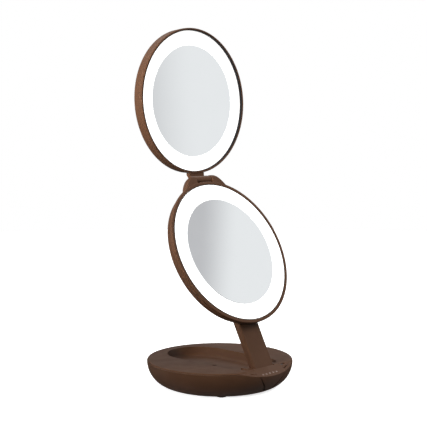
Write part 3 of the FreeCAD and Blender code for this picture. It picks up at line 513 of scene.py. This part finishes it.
black_steel = steel("blackened_steel", (0.012, 0.011, 0.011, 1), (0.035, 0.032, 0.031, 1), 0.34, 0.52,
                    lines=(1.0, 1.0, 1.0))
dress(black_steel, "lower_screws", "upper_screws")
up, down = Vector((0, 0, 1)), Vector((0, 0, -1))
arm_back = -broad_face("arm_front_shell")
for name, node_name, body, facing, head_high, shank_radius in (
    ("base_cross_screws", "base_screws", "base", down, 1.8, 1.2),
    ("door_cross_screw", "door_screw", "base", down, 0.7, 0.7),
    ("middle_cross_screw", "middle_screw", "base", up, 0.7, 1.0),
    ("arm_cross_screws", "arm_screws", "arm", arm_back, 0.8, 0.7),
):
    set_of_screws(name, node_name, body, facing, head_high * MM, shank_radius * MM, black_steel)


# The feet: four moulded rubber pads, glued into round seats under the bowl, each with a gripping ring and
# a softly rounded edge. They pick up a little dust.
rubber, tree, shader = new_material("foot_rubber", Specular_IOR_Level=0.3)
spot = spot_on(tree)
grain = placed(tree, moulded_grain, Place=spot, Fineness=1500.0)
dust = eased(tree, grain.outputs["Cloud"], 0.45, 0.8, 0.0, 0.6)
dusty = mixed(tree, dust, (0.018, 0.017, 0.017, 1), (0.07, 0.065, 0.06, 1))
tree.links.new(dusty, shader.inputs["Base Color"])
tree.links.new(eased(tree, grain.outputs["Height"], 0.3, 0.7, 0.72, 0.88), shader.inputs["Roughness"])
bump = node(tree, "Bump", {"Height": grain.outputs["Height"], "Distance": 0.03 * MM, "Strength": 1.0})
tree.links.new(bump.outputs["Normal"], shader.inputs["Normal"])
everything = bmesh.new()
pad_steps = 40
groove = 0.15 * MM
for solid in solids_of("rubber_feet"):
    low = Vector([min(corner[axis] for corner in solid) for axis in range(3)])
    high = Vector([max(corner[axis] for corner in solid) for axis in range(3)])
    wide, tall = (high.x - low.x) / 2, high.z - low.z
    section = [(0, 0), (wide * 0.42, 0), (wide * 0.48, groove), (wide * 0.60, groove), (wide * 0.66, 0),
               (wide * 0.88, 0), (wide * 0.97, tall * 0.10), (wide, tall * 0.28), (wide, tall), (0, tall)]
    one = turned(section, pad_steps)
    one.transform(Matrix.Translation(((low.x + high.x) / 2, (low.y + high.y) / 2, low.z)))
    joined(everything, one)
fitted("rubber_pads", everything, Matrix(), "base", "foot_rubber", rubber, "rubber_feet")


# The battery door's grip: five raised bars and an arrow, moulded with the door, that show which way it
# slides.
low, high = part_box("battery_door")
everything = bmesh.new()
bar_long, bar_wide, bar_proud, bar_step, bar_edge = 12.0 * MM, 0.9 * MM, 0.3 * MM, 1.9 * MM, 0.2 * MM
first_bar, arrow_in = 4.5 * MM, 16.5 * MM
for row in range(5):
    at = Vector((0, high.y - first_bar - row * bar_step, low.z))
    size = Matrix.Diagonal((bar_long, bar_wide, 2 * bar_proud, 1))
    bar = bmesh.ops.create_cube(everything, size=1.0, matrix=Matrix.Translation(at) @ size)["verts"]
    edges = [edge for edge in everything.edges if edge.verts[0] in bar and edge.verts[1] in bar]
    bmesh.ops.bevel(everything, geom=edges, offset=bar_edge, segments=3, affect="EDGES", profile=0.5,
                    material=-1)
bmesh.ops.create_cone(everything, cap_ends=True, segments=3, radius1=2.0 * MM, radius2=2.2 * MM,
                      depth=2 * bar_proud, matrix=Matrix.Translation((0, high.y - arrow_in, low.z)))
fitted("door_grip", everything, Matrix(), "base", "housing_plastic", cocoa)


# The battery bay and the switch's case: black ABS, moulded with the same fine grain as the cases. Both are
# fixed inside the base, where they are hardly seen.
bay_black = moulded("black_abs", (0.012, 0.011, 0.011, 1), (0.018, 0.017, 0.017, 1),
                    (0.045, 0.042, 0.040, 1), 0.5)
dress(bay_black, "battery_bay", "switch_body")


# The power slider's key: moulded ABS in a much darker brown than the case, and smoother, from the thumb
# that moves it. It slides in a slot beside the arm's foot.
key_brown = moulded("dark_cocoa_abs", (0.012, 0.007, 0.005, 1), (0.018, 0.010, 0.008, 1),
                    (0.030, 0.018, 0.014, 1), 0.38, rub=0.3)
dress(key_brown, "power_slider")


# The cells: three in the bay, each in a shrunk plastic jacket that is dark at its flat end and
# copper-coloured towards its nub. The contacts are nickel plate, with coils at both ends.
jacket, tree, shader = new_material("cell_jacket", Metallic=0.6)
spot = spot_on(tree)
lengthways = node(tree, "SeparateXYZ", {0: spot}).outputs["X"]
creased = node(tree, "TexNoise", {"Vector": spot, "Scale": 220.0, "Detail": 3.0}).outputs["Fac"]
copper = share_of(tree, lengthways, 12.4 * MM, 12.8 * MM)
print_colour = mixed(tree, copper, (0.03, 0.03, 0.035, 1), (0.55, 0.27, 0.12, 1))
tree.links.new(print_colour, shader.inputs["Base Color"])
tree.links.new(eased(tree, creased, 0.3, 0.7, 0.22, 0.34), shader.inputs["Roughness"])
dress(jacket, "battery_cells")
nickel = steel("nickel_plate", (0.50, 0.48, 0.44, 1), (0.64, 0.62, 0.57, 1), 0.18, 0.32)
dress(nickel, "battery_contacts")


# The driver board: green glass laminate with its chips soldered on, hidden under the deck's left side. It
# is paler and yellower along its edges, where the laminate shows through the solder mask.
mask_green = moulded("green_solder_mask", (0.006, 0.055, 0.022, 1), (0.010, 0.080, 0.032, 1),
                     (0.45, 0.36, 0.16, 1), 0.3, fineness=1200.0, depth=0.006, rub=0.2)
dress(mask_green, "driver_board")


# The wires up the arm: one red and one black, in soft PVC sleeves, laid side by side in the hollow of the
# arm, out of sight behind its cover.
sleeve, tree, shader = new_material("wire_sleeve", Roughness=0.45)
spot = spot_on(tree)
side = node(tree, "SeparateXYZ", {0: spot}).outputs["X"]
scuff = node(tree, "TexNoise", {"Vector": spot, "Scale": 300.0, "Detail": 3.0}).outputs["Fac"]
red = mixed(tree, scuff, (0.38, 0.012, 0.010, 1), (0.50, 0.020, 0.016, 1))
black = mixed(tree, scuff, (0.010, 0.010, 0.011, 1), (0.022, 0.022, 0.024, 1))
which = share_of(tree, side, -0.1 * MM, 0.1 * MM)
tree.links.new(mixed(tree, which, red, black), shader.inputs["Base Color"])
dress(sleeve, "arm_wires")


# The mark on the front cap: five small dots of thin grey-brown ink, pad-printed on the cap and already
# rubbed through in places.
ink, tree, shader = new_material("pad_ink", Specular_IOR_Level=0.2)
spot = spot_on(tree)
rubbed = node(tree, "TexNoise", {"Vector": spot, "Scale": 1400.0, "Detail": 4.0}).outputs["Fac"]
worn = eased(tree, rubbed, 0.35, 0.65, 0.0, 1.0)
tree.links.new(mixed(tree, worn, (0.30, 0.23, 0.20, 1), (0.13, 0.085, 0.07, 1)), shader.inputs["Base Color"])
tree.links.new(eased(tree, rubbed, 0.3, 0.7, 0.5, 0.7), shader.inputs["Roughness"])
dress(ink, "cap_mark")
